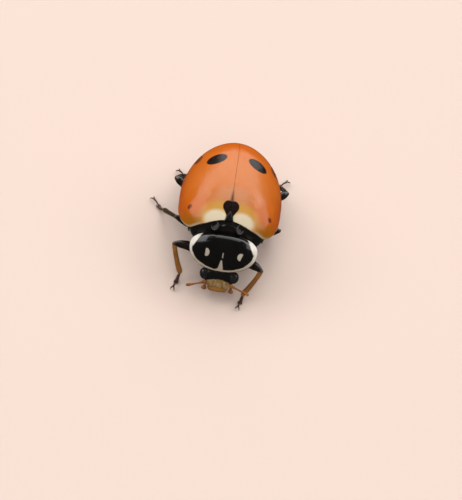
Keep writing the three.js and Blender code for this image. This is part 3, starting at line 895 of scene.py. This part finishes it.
def head_point(turn, y, width, above, below):
    """On the head. The brow has a shallow dip, and there is a hollow at each feeler's root."""
    c, s = math.cos(turn), math.sin(turn)
    x = width * fuller(c, 0.85)
    z = (above if s > 0 else below) * fuller(s, 0.75)
    if s > 0:
        z -= 0.03 * bell(x, 0.16) * bell(y + 0.02, 0.12)
        z -= 0.035 * bell(abs(x) - 0.36, 0.06) * bell(y + 0.13, 0.06)
    return on_head(x, y, z)


def head_material():
    material, tree, shader = new_material("face chitin", {"Roughness": 0.2, "IOR": 1.54})
    where = place_on(tree, head_place)
    x, y, z = split(tree, where)
    cloud = grain(shader, where, pits=18.0, pit_size=0.3, pit_depth=0.7, waves=8.0, wave_height=0.5)
    uneven = noise(tree, where, 9.0)
    face = 1 - (y + (uneven - 0.5) * 0.09 + x * x * 0.55).ramp(-0.035, 0.0)
    stripe = (x.math("ABSOLUTE") - 0.04).hump(0.115, 0.035) * (1 - y.ramp(-0.16, -0.06))
    pale = paint(tree, (0.26, 0.155, 0.05), (uneven.ramp(0.38, 0.62), (0.40, 0.28, 0.135)),
                 (stripe * 0.7, (0.20, 0.10, 0.015)))
    fill(shader, {"Base Color": paint(
        tree, (0.004, 0.004, 0.004), (cloud, (0.009, 0.007, 0.006)), (face * z.ramp(-0.06, -0.02), pale))})
    return material


head = skin("head_capsule", [[head_point(turn, *station) for turn in turns(64)]
                             for station in smooth_between(HEAD_STATIONS)])
settle(head, head_material(), "black_chitin", "head")

# ---------------------------------------------------------------- mouth
# The upper lip, a pair of jaws under it and a lower lip, all of cream to amber chitin, jointed to the
# front edge of the face.

# Stations of the left jaw: a place on the head, a half width and a half height.
JAW_STATIONS = (
    (0.27, -0.14, -0.10, 0.07, 0.06), (0.25, -0.24, -0.10, 0.075, 0.055),
    (0.15, -0.32, -0.09, 0.05, 0.045), (0.02, -0.345, -0.085, 0.012, 0.014),
)
LIP_CURVE = 0.25

labrum = shield(
    "upper_lip", head_place @ frame_at((0, -0.285, 0.035), -14), oval(0.30, 0.105, 40, 2.5),
    lambda share, x: 0.05 * (1 - share**3) - LIP_CURVE * x * x,
    lambda share, x: -0.035 - LIP_CURVE * x * x, (0.05, 0.3, 0.5, 0.7, 0.84, 0.93, 1))
ochre = chitin("ochre chitin", ((0.24, 0.095, 0.008), (0.38, 0.175, 0.03)), 0.3, CREAM_IOR, **CREAM_GRAIN)
settle(labrum, ochre, "cream_chitin", "labrum")
amber = chitin("amber chitin", ((0.20, 0.055, 0.008), (0.36, 0.13, 0.022)), 0.25, CREAM_IOR, **CREAM_GRAIN)
jaws = [limb("jaw", [(on_head(sign * x, y, z), width, height) for x, y, z, width, height in JAW_STATIONS],
             18, head_turn @ Vector((0, 0, 1))) for sign in SIDES.values()]
jaws.append(shield(
    "lip", head_place @ frame_at((0, -0.17, -0.19), 12), oval(0.15, 0.13, 28, 2.5),
    lambda share, x: 0.03, lambda share, x: -0.03 * (1 - share**4) - 0.01, (0.1, 0.5, 0.8, 0.94, 1)))
settle(join("jaws", jaws), amber, "amber_chitin", "mandibles")

# ---------------------------------------------------------------- eyes
# Grey-black compound eyes at the sides of the head. Their lenses are six-sided, a few hundredths of a
# millimetre across, and set close together like a honeycomb.

EYE_HALF = (0.165, 0.185, 0.165)
EYE_HEADING = -12
EYE_FINENESS = 5


def eye_tree():
    """Turns a ball of triangles into one of six-sided cells, each raised and drawn in at its top."""
    tree, start, (height, share) = shape_tree("compound eye", "Lens Height", "Lens Share")
    cells = add_node(tree, "GeometryNodeDualMesh", {0: start.outputs["Base"]})
    raised = add_node(tree, "GeometryNodeExtrudeMesh",
                      {"Mesh": cells, "Offset Scale": height, "Individual": True}, mode="FACES")
    small = add_node(tree, "GeometryNodeScaleElements",
                     {"Geometry": raised.outputs["Mesh"], "Selection": raised.outputs["Top"],
                      "Scale": share}, domain="FACE")
    return end_tree(tree, start, small)


def icosphere(radii, place, level):
    """A ball of near equal triangles, stretched and placed."""
    bpy.ops.mesh.primitive_ico_sphere_add(subdivisions=level, radius=1)
    ball = bpy.context.object
    mesh = ball.data
    bpy.data.objects.remove(ball)
    mesh.transform(place @ Matrix.Diagonal((*radii, 1)))
    return mesh


eye_lens = chitin("eye lens", ((0.012, 0.011, 0.011), (0.035, 0.032, 0.031)), 0.2, 1.55,
                  pits=9.0, pit_size=0.4, pit_depth=0.1, waves=12.0, wave_height=0.2)
lens_tree = eye_tree()
for side, sign in SIDES.items():
    place = head_place @ frame_at((sign * EYE_SPREAD, EYE_FORWARD, EYE_UP), heading=sign * EYE_HEADING)
    eye = grow(f"compound_eye_{side}", lens_tree,
               {"Lens Height": 0.002, "Lens Share": 0.82, "Material": eye_lens},
               icosphere(EYE_HALF, place, EYE_FINENESS), smooth=False)
    settle(eye, None, "eye", f"eye_{side}")

# ---------------------------------------------------------------- feelers
# Antennae of eleven joints that end in a club, and four palps with axe-shaped ends, by the mouth.

# Each joint's share of the length and its half width. The club starts after joint 8 and is flatter.
ANTENNA_JOINTS = ((0.17, 0.052), (0.09, 0.040), (0.11, 0.029), (0.075, 0.026), (0.075, 0.027),
                  (0.07, 0.028), (0.07, 0.031), (0.07, 0.036), (0.085, 0.050), (0.085, 0.060), (0.10, 0.056))
ANTENNA_ROOT = (0.37, -0.135, 0.10)
ANTENNA_BEND = (0.66, -3.30, 0.36)
CLUB_START = 8
CLUB_FLATNESS = 0.75
CAD_TIP = (0.12, 0.14, 0.14)  # how far the tip lies inside the CAD antenna's box
# Each left palp's ends of joints on the head, with the half width of the joint before it.
PALPS = {
    "maxillary": ((0.30, -0.10, -0.15, 0), (0.37, -0.16, -0.17, 0.035), (0.41, -0.25, -0.15, 0.04),
                  (0.42, -0.37, -0.10, 0.075)),
    "labial": ((0.08, -0.20, -0.20, 0), (0.11, -0.27, -0.20, 0.022), (0.12, -0.33, -0.18, 0.03)),
}
PALP_FLATNESS = 0.6


def named_vector(tree, name):
    """A vector that a mesh carries under a name."""
    return add_node(tree, "GeometryNodeInputNamedAttribute", {"Name": name}, data_type="FLOAT_VECTOR")


def string_tree():
    """Rounded joints, one at each point of a mesh, along the point's direction and in its size."""
    tree, start, (flare,) = shape_tree("string of joints", "Flare")
    ball = add_node(tree, "GeometryNodeMeshUVSphere", {"Segments": 18, "Rings": 12, "Radius": 1.0})
    ready = store(tree, ball, "skin", ball.outputs["UV Map"])
    x, y, z = position(tree)
    full = (1 - z * z).math("MAXIMUM", 0.0001) ** -0.22 * (1 + flare * z)
    segment = move_to(tree, ready, x * full, y * full, z)
    turn = add_node(tree, "FunctionNodeAlignRotationToVector", {"Vector": named_vector(tree, "direction")},
                    axis="Z")
    string = add_node(tree, "GeometryNodeInstanceOnPoints",
                      {"Points": start.outputs["Base"], "Instance": segment, "Rotation": turn,
                       "Scale": named_vector(tree, "size")})
    return end_tree(tree, start, string)


def string_of(name, places, widths, flatness, flare):
    """Joints from each place to the next, each of a half width and a share of it in height."""
    mesh = bpy.data.meshes.new("points")
    spans = [Vector(b) - Vector(a) for a, b in zip(places, places[1:])]
    mesh.from_pydata([(Vector(a) + Vector(b)) / 2 for a, b in zip(places, places[1:])], [], [])
    direction = mesh.attributes.new("direction", "FLOAT_VECTOR", "POINT")
    size = mesh.attributes.new("size", "FLOAT_VECTOR", "POINT")
    for i, (span, width) in enumerate(zip(spans, widths)):
        direction.data[i].vector = span.normalized()
        size.data[i].vector = (width, width * flatness(i), span.length * 0.54)
    return grow(name, joint_tree, {"Flare": flare, "Material": amber}, mesh)


joint_tree = string_tree()
for side, sign in SIDES.items():
    low, high = body_box(f"antenna_{side}")
    base = on_head(sign * ANTENNA_ROOT[0], *ANTENNA_ROOT[1:])
    bend = Vector((sign * ANTENNA_BEND[0], ANTENNA_BEND[1], base.z * 0.5 + ANTENNA_BEND[2]))
    tip_x = high.x - CAD_TIP[0] if sign > 0 else low.x + CAD_TIP[0]
    tip = Vector((tip_x, low.y + CAD_TIP[1], high.z - CAD_TIP[2]))
    total = sum(share for share, _ in ANTENNA_JOINTS)
    places, gone = [base], 0
    for share, _ in ANTENNA_JOINTS:
        gone += share / total
        places.append((1 - gone) ** 2 * base + 2 * gone * (1 - gone) * bend + gone**2 * tip)
    feeler = string_of(f"feeler_{side}", places, [width for _, width in ANTENNA_JOINTS],
                       lambda i: CLUB_FLATNESS if i >= CLUB_START else 1, 0.22)
    settle(feeler, None, "amber_chitin", f"antenna_{side}")
    palps = [string_of(name, [on_head(sign * x, y, z) for x, y, z, _ in points],
                       [width for _, _, _, width in points[1:]], lambda i: PALP_FLATNESS, 0.35)
             for name, points in PALPS.items()]
    settle(join(f"palps_{side}", palps), None, "amber_chitin", f"palp_{side}")

# ---------------------------------------------------------------- legs
# Six legs. A coxa sits in its socket with a small trochanter, then come the thigh and the shin, of
# black to amber chitin, and a foot of four joints on two golden pads, ending in a pair of toothed claws.

CAD_KNEE = 0.202
CAD_ANKLE = 0.222
CAD_TOE = 0.21
HIP_IN = (0.12, 0, -0.05)  # from the socket
TROCHANTER_OUT = (0.13, 0.02, -0.04)
KNEE_RISE = 0.05
THIGH_RISE = 0.03
SHIN_DROP = 0.03
SPUR_LENGTH = 0.10
CLAW_REACH = 0.16  # how far the claws reach beyond the middle of the CAD toe
# What sets the pairs apart: how far back and up the socket and the arch of the thigh go, how far out
# and how thick the knee is, how wide the shin is, how far back it starts, and how it bows.
PAIRS = {
    "front": ((0, 0.10, 0.02), -0.02, 1.0, 1.2, 0, (0.02, -0.02, 0.02)),
    "middle": ((0, 0, 0), 0.05, 1.0, 1.0, 0, (0.03, 0, 0.02)),
    "hind": ((0, 0, 0), 0.07, 1.4, 1.0, 0.05, (0.03, 0.05, 0.02)),
}
# Rows of a share of the way along a limb, a half width and a half height.
TROCHANTER_ROWS = ((0, 0.055, 0.055), (0.5, 0.078, 0.078), (1, 0.06, 0.06))
THIGH_ROWS = ((0, 0.06, 0.06), (0.1, 0.09, 0.10), (0.3, 0.13, 0.14), (0.55, 0.14, 0.15),
              (0.78, 0.118, 0.125), (0.93, 0.085, 0.09), (1, 0.065, 0.07))
KNEE_SHARE = 0.9
SHIN_ROWS = ((0, 0.045, 0.045), (0.08, 0.06, 0.055), (0.35, 0.058, 0.062), (0.7, 0.066, 0.072),
             (0.92, 0.072, 0.078), (1, 0.055, 0.06))
SPUR_ROWS = ((0, 0.012, 0.012), (0.5, 0.009, 0.009), (1, 0.004, 0.004))
SMALL_JOINT_ROWS = ((0, 0.016, 0.016), (0.5, 0.022, 0.02), (1, 0.018, 0.018))
CLAW_JOINT_ROWS = ((0, 0.018, 0.018), (0.5, 0.022, 0.022), (0.9, 0.031, 0.029), (1, 0.027, 0.025))
# Stations on the foot: a share of its length, a way to one side, a height and two half sizes.
LOBE = ((0.27, 0.008, 0.075, 0.016, 0.018), (0.36, 0.032, 0.065, 0.028, 0.026),
        (0.46, 0.044, 0.057, 0.03, 0.024), (0.52, 0.046, 0.053, 0.018, 0.016))
CLAW = ((0.86, 0.014, 0.10, 0.017, 0.019), (0.92, 0.042, 0.10, 0.016, 0.019),
        (0.98, 0.060, 0.06, 0.010, 0.012), (0.985, 0.062, 0.008, 0.003, 0.003))
TOOTH = ((0.90, 0.03, 0.095, 0.009, 0.012), (0.93, 0.034, 0.05, 0.004, 0.005))
PAD_BRISTLES = {"Gap": 0.013, "Length": 0.030, "Stand": 0.85, "Below": 1.0, "Thickness": 0.003}
UP = Vector((0, 0, 1))


def far_end(node, start, inset):
    """Where a CAD limb ends, from its box, the side it starts at and its half thickness."""
    low, high = body_box(node)
    away = (low + high) / 2 - start
    return Vector([high[i] - inset if away[i] > 0 else low[i] + inset for i in range(3)])


def paler_tip_and_sheen(tip_and_sheen, under_share):
    """A function that warms a limb's colour at its far end and along its under side."""
    def marks(tree, base):
        around, along = on_skin(tree)
        under = ((around - 0.75) * 2 * math.pi).math("COSINE").ramp(0.1, 0.9) * under_share
        return paint(tree, base, (largest(under, along.ramp(0.82, 1.0)), tip_and_sheen))
    return marks


def tapered(start, end, rows, out=(0, 0, 0)):
    """Stations from a start to an end, in rows of a share of the way, a half width and a half height."""
    return [(start.lerp(end, share) + Vector(out) * math.sin(math.pi * share), width, height)
            for share, width, height in rows]


def bristle_tree():
    """Fine curved bristles over a skin, leaning along its limb, with their own strip of the bake map."""
    tree, start, sizes = shape_tree("bristles", "Gap", "Length", "Thickness", "Stand", "Below", "Seed",
                                    "Patch", "Patches")
    gap, length, thickness, stand, below, seed, patch_number, patches = sizes
    skin_map = named_vector(tree, "skin")
    _, _, upright = split(tree, add_node(tree, "GeometryNodeInputNormal"))
    roots = add_node(tree, "GeometryNodeDistributePointsOnFaces",
                     {"Mesh": start.outputs["Base"], "Distance Min": gap, "Density Max": 40000.0,
                      "Density Factor": 1 - below * upright.math("GREATER_THAN", -0.4), "Seed": seed},
                     distribute_method="POISSON")
    cone = add_node(tree, "GeometryNodeMeshCone",
                    {"Vertices": 3, "Side Segments": 3, "Radius Top": 0.0, "Radius Bottom": 1.0,
                     "Depth": 1.0})
    x, y, z = position(tree)
    bent = move_to(tree, cone, x * thickness, y * thickness + z * z * length * 0.16, (z - 0.06) * length)
    bristle = store(tree, bent, "cell", cone.outputs["UV Map"])
    ways = ((named_vector(tree, "direction"), 1 - stand), (roots.outputs["Normal"], stand))
    flat, up = (add_node(tree, "ShaderNodeVectorMath", {0: way, "Scale": share}, operation="SCALE")
                for way, share in ways)
    lean = add_node(tree, "ShaderNodeVectorMath", {0: flat, 1: up}, operation="ADD")
    turn = add_node(tree, "FunctionNodeAlignRotationToVector", {"Vector": lean}, axis="Z")
    uneven = add_node(tree, "FunctionNodeRandomValue", {"Min": 0.7, "Max": 1.15, "Seed": seed},
                      data_type="FLOAT")
    coat = add_node(tree, "GeometryNodeInstanceOnPoints",
                    {"Points": roots.outputs["Points"], "Instance": bristle, "Rotation": turn,
                     "Scale": uneven.outputs["Value"]})
    real = add_node(tree, "GeometryNodeRealizeInstances", {0: coat})
    root_x, root_y, _ = split(tree, skin_map)
    cell_x, cell_y, _ = split(tree, named_vector(tree, "cell"))
    map_x = (root_x * 0.96 + 0.02 + patch_number) / patches + (cell_x - 0.5) * 0.003
    map_y = root_y * 0.96 + 0.02 + (cell_y - 0.5) * 0.003
    shape = store(tree, real, "OFBake", add_node(tree, "ShaderNodeCombineXYZ", {0: map_x, 1: map_y}))
    for name in ("cell", "skin", "direction"):
        shape = add_node(tree, "GeometryNodeRemoveAttribute", {"Geometry": shape, "Name": name})
    return end_tree(tree, start, shape)


def bristly(name, skins, material, seed):
    """One coat of bristles over several skins, each with its own gap, length and other sizes."""
    coats = []
    for i, (piece, values) in enumerate(skins):
        values = {"Thickness": 0.0022, "Stand": 0.5, "Below": 0.0, "Seed": float(seed + i), "Patch": float(i),
                  "Patches": float(len(skins)), "Material": material} | values
        coats.append(grow(name, bristles, values, piece.data.copy()))
    return join(name, coats)


def foot_and_claws(heel, ankle, toe):
    """The first joint, two lobes, the small joint and the claw joint of a foot, and its claws."""
    ahead = Vector((toe.x - ankle.x, toe.y - ankle.y, 0))
    reach = ahead.length + CLAW_REACH
    ahead.normalize()
    across = ahead.cross(UP)

    def on_foot(share, side, height):
        return Vector((ankle.x, ankle.y, 0)) + ahead * reach * share + across * side + UP * height

    def sided(name, rows, turn, sides):
        return limb(name, [(on_foot(share, side * turn, height), width, depth)
                           for share, side, height, width, depth in rows], sides)

    ball = on_foot(0.27, 0, 0.075)
    first = limb("first joint", [(heel, 0.026, 0.024), (heel.lerp(ball, 0.5), 0.042, 0.03),
                                 (ball, 0.052, 0.03), (on_foot(0.34, 0, 0.07), 0.04, 0.022)])
    lobes = [sided("lobe", LOBE, turn, 14) for turn in (-1, 1)]
    small = limb("small joint", tapered(on_foot(0.40, 0, 0.08), on_foot(0.47, 0, 0.09), SMALL_JOINT_ROWS), 12)
    last = limb("claw joint", tapered(on_foot(0.45, 0, 0.085), on_foot(0.86, 0, 0.10), CLAW_JOINT_ROWS,
                                      (0, 0, 0.03)), 14)
    claws = [sided(name, rows, turn, sides) for turn in (-1, 1)
             for name, rows, sides in (("claw", CLAW, 10), ("tooth", TOOTH, 8))]
    return [first, *lobes, small, last], claws


bristles = bristle_tree()
# Each chitin's name, its two blacks or browns, the colour of its far end and under side, how much of that
# shows below, and roughness.
thigh_black, shin_brown, shin_amber, foot_red = (
    chitin(f"{name} chitin", colours, roughness, 1.54, paler_tip_and_sheen(tip_and_sheen, share), pits=22.0, pit_size=0.3,
           pit_depth=0.6, waves=14.0)
    for name, colours, tip_and_sheen, share, roughness in (
        # The thigh's grey-brown far end is its brown tip made paler as a painted sheen at the knee.
        ("thigh", ((0.005, 0.004, 0.0035), (0.014, 0.009, 0.007)), (0.10, 0.06, 0.04), 0.5, 0.2),
        ("shin", ((0.010, 0.006, 0.005), (0.03, 0.017, 0.012)), (0.10, 0.045, 0.02), 0.35, 0.2),
        ("front shin", ((0.24, 0.085, 0.014), (0.36, 0.15, 0.03)), (0.42, 0.20, 0.05), 0.6, 0.2),
        ("foot", ((0.035, 0.009, 0.006), (0.07, 0.02, 0.010)), (0.10, 0.032, 0.015), 0.4, 0.28)))
bristle_gold = chitin("bristles", ((0.26, 0.15, 0.06), (0.44, 0.30, 0.14)), 0.45, 1.5,
                      pits=8.0, pit_size=0.1, pit_depth=0.0, waves=9.0, wave_height=0.0)

for number, (pair, side) in enumerate((pair, side) for pair in PAIRS for side in SIDES):
    leg = f"{pair}_{side}"
    sign = SIDES[side]
    set_back, knee_out, knob, shin_width, shin_back, bow = PAIRS[pair]
    socket = middle_of(f"coxa_{leg}")
    knee = far_end(f"femur_{leg}", socket, CAD_KNEE)
    ankle = far_end(f"tibia_{leg}", knee, CAD_ANKLE)
    toe = far_end(f"tarsus_{leg}", ankle, CAD_TOE)
    socket += Vector(set_back)
    knee += Vector((sign * knee_out, 0, KNEE_RISE))
    hip = socket - Vector((sign * HIP_IN[0], *HIP_IN[1:]))
    trochanter = socket + Vector((sign * TROCHANTER_OUT[0], *TROCHANTER_OUT[1:]))
    coxa = limb("coxa", [(hip, 0.10, 0.10), (hip.lerp(trochanter, 0.4), 0.125, 0.12),
                         (hip.lerp(trochanter, 0.8), 0.09, 0.09), (trochanter, 0.06, 0.06)])
    ring = limb("trochanter", tapered(trochanter - (knee - trochanter) * 0.03,
                                      trochanter + (knee - trochanter) * 0.12, TROCHANTER_ROWS))
    settle(join(f"coxa_{leg}", [coxa, ring]), satin_black, "black_chitin", f"coxa_{leg}")

    rows = [(share, width * knob, height * knob) if share > KNEE_SHARE else (share, width, height)
            for share, width, height in THIGH_ROWS]
    thigh = limb(f"thigh_{leg}", tapered(trochanter.lerp(knee, 0.1), knee, rows,
                                         UP * THIGH_RISE + Vector(set_back)))
    shin_start = knee + Vector((0, shin_back, -0.012))
    shin_end = ankle - UP * SHIN_DROP
    rows = [(share, width * shin_width, height) for share, width, height in SHIN_ROWS]
    shin = limb(f"shin_{leg}", tapered(shin_start, shin_end, rows, (sign * bow[0], *bow[1:])))
    shin_parts = [shin]
    if pair != "front":
        ahead = (shin_end - shin_start).normalized()
        across = ahead.cross(UP).normalized()
        for turn in (-1, 1):
            base = shin_end + across * turn * 0.045
            shin_parts.append(
                limb("spur", tapered(base, base + ahead * SPUR_LENGTH + across * turn * 0.02, SPUR_ROWS), 8))
    foot, claws = foot_and_claws(shin_end - UP * 0.01, ankle, toe)
    first, left_lobe, right_lobe, _, last = foot

    coat = bristly(f"bristles_{leg}", [
        (thigh, {"Gap": 0.06, "Length": 0.045, "Stand": 0.3}),
        (shin, {"Gap": 0.032, "Length": 0.07, "Stand": 0.45}),
        (first, {"Gap": 0.018, "Length": 0.045}),
        (left_lobe, PAD_BRISTLES),
        (right_lobe, PAD_BRISTLES),
        (last, {"Gap": 0.026, "Length": 0.05}),
    ], bristle_gold, 10 * number)
    settle(coat, None, "amber_chitin")
    settle(thigh, thigh_black, "black_chitin", f"femur_{leg}")
    shin_look = (shin_amber, "amber_chitin") if pair == "front" else (shin_brown, "brown_chitin")
    settle(join(f"shin_{leg}", shin_parts), *shin_look, f"tibia_{leg}")
    settle(join(f"foot_{leg}", foot), foot_red, "reddish_chitin", f"tarsus_{leg}")
    settle(join(f"claws_{leg}", claws), foot_red, "reddish_chitin")

# ---------------------------------------------------------------- studio
# A pale floor, three soft lights one above the other behind, one at each side, three weak fills that
# gloss doesn't show, and a camera that looks down on the head. The floor doesn't show in gloss either.

FLOOR_HALF = 150
# Each light's azimuth and elevation from the beetle, distance, width and height, power, and whether
# it shows in gloss.
LIGHTS = {
    "low sky": (5, 25, 440, 408, 190, 0.54, True),
    "high sky": (5, 45, 440, 792, 132, 1.00, True),
    "upper sky": (5, 61, 440, 330, 110, 0.17, True),
    "side left": (73, 34, 360, 262, 176, 0.34, True),
    "side right": (-70, 36, 360, 262, 176, 0.46, True),
    "fill above": (0, 80, 300, 360, 240, 0.21, False),
    "fill in front": (180, 50, 300, 360, 240, 0.36, False),
    "fill right": (-90, 35, 300, 360, 240, 0.09, False),
}
LIGHTS_AIM = Vector((0, -0.6, 1.2))
CAMERA_AZIMUTH = -3
CAMERA_ELEVATION = 50
CAMERA_ROLL = 12
CAMERA_DISTANCE = 90
FRAME_HEIGHT = 15.27
SENSOR = 36
CAMERA_AIM = Vector((0, WING_FRONT, 2.017))
CAMERA_SHIFT = (0.058, -0.910)  # to the right of where it aims, and up

mesh = bpy.data.meshes.new("floor")
mesh.from_pydata([(x * FLOOR_HALF * MM, y * FLOOR_HALF * MM, 0)
                  for x, y in ((-1, -1), (1, -1), (1, 1), (-1, 1))], [], [(0, 1, 2, 3)])
floor = put("floor", mesh)
mesh.materials.append(new_material("floor", {"Base Color": (0.76, 0.60, 0.52), "Roughness": 0.8})[0])
floor.visible_glossy = False


def toward(azimuth, elevation, front):
    """The way to a place round the beetle, in degrees from its front (-1) or its rear (1)."""
    a, e = math.radians(azimuth), math.radians(elevation)
    return Vector((math.sin(a) * math.cos(e), front * math.cos(a) * math.cos(e), math.sin(e)))


for name, (azimuth, elevation, distance, width, height, watts, shines) in LIGHTS.items():
    lamp = bpy.data.lights.new(name, "AREA")
    lamp.shape = "RECTANGLE"
    lamp.size = width * MM
    lamp.size_y = height * MM
    lamp.energy = watts
    light = put(name, lamp)
    way = toward(azimuth, elevation, 1)
    light.location = LIGHTS_AIM * MM + BODY + way * distance * MM
    light.rotation_euler = way.to_track_quat("Z", "Y").to_euler()
    light.visible_camera = False
    light.visible_glossy = shines

bpy.context.scene.view_settings.view_transform = "Standard"
world = bpy.data.worlds.new("studio")
world.use_nodes = True
bpy.context.scene.world = world
sky = world.node_tree
seen = add_node(sky, "ShaderNodeLightPath").outputs["Is Camera Ray"]
fill(sky.nodes["Background"], {
    "Strength": 1.0, "Color": paint(sky, (0.07, 0.066, 0.062), (seen, (0.94, 0.78, 0.685)))})

lens = bpy.data.cameras.new("camera")
camera = put("camera", lens)
bpy.context.scene.camera = camera
lens.sensor_width = SENSOR
lens.lens = SENSOR * CAMERA_DISTANCE / FRAME_HEIGHT
lens.clip_start = 1 * MM
lens.clip_end = 1000 * MM
back = toward(CAMERA_AZIMUTH, CAMERA_ELEVATION, -1)
turn = back.to_track_quat("Z", "Y").to_matrix() @ Matrix.Rotation(math.radians(CAMERA_ROLL), 3, "Z")
right, up = turn.col[0], turn.col[1]
aim = CAMERA_AIM + CAMERA_SHIFT[0] * right + CAMERA_SHIFT[1] * up
place = BODY + (aim + back * CAMERA_DISTANCE) * MM
camera.matrix_world = Matrix.LocRotScale(place, turn.to_quaternion(), None)
